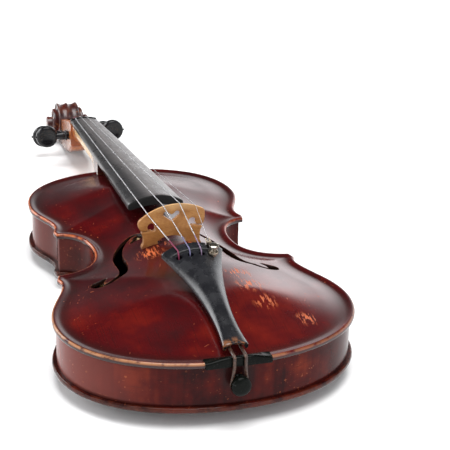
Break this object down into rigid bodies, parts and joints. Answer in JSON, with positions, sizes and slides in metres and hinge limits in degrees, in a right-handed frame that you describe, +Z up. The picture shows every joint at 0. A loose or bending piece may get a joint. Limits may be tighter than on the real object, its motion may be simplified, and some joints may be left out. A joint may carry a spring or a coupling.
{
  "type": "violin",
  "caption": "Full-size violin lying on its back, with arched plates, scroll, ebony fittings, an arched tailpiece, a single fine tuner and strings at pitch.",
  "frame": {"origin": "on the resting plane, under the middle of the bounding box", "axes": "+Z up through the top plate, +Y from the tail to the scroll, +X to the treble side"},
  "size_m": [0.208, 0.6, 0.0882],
  "materials": {
    "varnished_spruce": "old red-brown spirit varnish over spruce, gloss, worn at the edges",
    "varnished_maple": "red-brown varnish over flamed maple, gloss",
    "varnished_ribs": "red-brown varnish over maple ribs, gloss",
    "varnished_neck": "red-brown to amber varnish over maple",
    "bare_spruce": "unvarnished",
    "ebony": "dark ebony, satin with wear",
    "polished_ebony": "polished ebony",
    "bare_maple": "unvarnished maple, aged",
    "black_tailpiece": "black, satin",
    "gut": "dark gut",
    "wound_string": "metal wound",
    "plain_string": "plain steel",
    "tuner_metal": "nickel plated brass, worn"
  },
  "bodies": {
    "violin": {"top_plate": "varnished_spruce", "back_plate": "varnished_maple", "upper_rib_bass": "varnished_ribs", "upper_rib_treble": "varnished_ribs", "waist_rib_bass": "varnished_ribs", "waist_rib_treble": "varnished_ribs", "lower_rib_bass": "varnished_ribs", "lower_rib_treble": "varnished_ribs", "neck": "varnished_neck", "upper_block": "bare_spruce", "lower_block": "bare_spruce", "corner_blocks": "bare_spruce", "linings_top": "bare_spruce", "linings_back": "bare_spruce", "bass_bar": "bare_spruce", "sound_post": "bare_spruce", "fingerboard": "ebony", "nut": "ebony", "saddle": "ebony", "end_button": "ebony", "bridge": "bare_maple", "tailpiece": "black_tailpiece", "tailpiece_fret": "black_tailpiece", "tailgut": "gut", "string_g": "wound_string", "string_d": "wound_string", "string_a": "wound_string", "string_e": "plain_string", "tuner_bracket": "tuner_metal", "tuner_nut": "tuner_metal", "tuner_pin": "tuner_metal"},
    "peg_g_body": {"peg_g": "polished_ebony", "winding_g": "wound_string"},
    "peg_d_body": {"peg_d_string": "polished_ebony", "winding_d": "wound_string"},
    "peg_a_body": {"peg_a": "polished_ebony", "winding_a": "wound_string"},
    "peg_e_body": {"peg_e": "polished_ebony", "winding_e": "plain_string"},
    "tuner_screw_body": {"tuner_screw": "tuner_metal"},
    "tuner_knob_body": {"tuner_knob": "tuner_metal"},
    "tuner_lever_body": {"tuner_lever": "tuner_metal"}
  },
  "joints": [
    {"name": "peg_g_turn", "type": "hinge", "parent": "violin", "child": "peg_g_body", "pos_m": [0, 0.20803, 0.031], "axis": [1, 0, 0], "continuous": true},
    {"name": "peg_d_turn", "type": "hinge", "parent": "violin", "child": "peg_d_body", "pos_m": [0, 0.23903, 0.021], "axis": [1, 0, 0], "continuous": true},
    {"name": "peg_a_turn", "type": "hinge", "parent": "violin", "child": "peg_a_body", "pos_m": [0, 0.25104, 0.018], "axis": [1, 0, 0], "continuous": true},
    {"name": "peg_e_turn", "type": "hinge", "parent": "violin", "child": "peg_e_body", "pos_m": [0, 0.21704, 0.03], "axis": [1, 0, 0], "continuous": true},
    {"name": "tuner_screw_travel", "type": "slide", "parent": "violin", "child": "tuner_screw_body", "axis": [0, 0.1908, -0.9816], "range_m": [0, 0.002]},
    {"name": "tuner_knob_turn", "type": "hinge", "parent": "tuner_screw_body", "child": "tuner_knob_body", "pos_m": [0.012, -0.19053, 0.07535], "axis": [0, 0.1908, -0.9816], "range_deg": [0, 1601]},
    {"name": "tuner_lever_turn", "type": "hinge", "parent": "violin", "child": "tuner_lever_body", "pos_m": [0.012, -0.18166, 0.06642], "axis": [1, 0, 0], "range_deg": [0, 16.38]}
  ],
  "couplings": [
    {"joint": "tuner_knob_turn", "follows": "tuner_screw_travel", "rad_per_m": 13963},
    {"joint": "tuner_lever_turn", "follows": "tuner_screw_travel", "rad_per_m": 142.86}
  ]
}
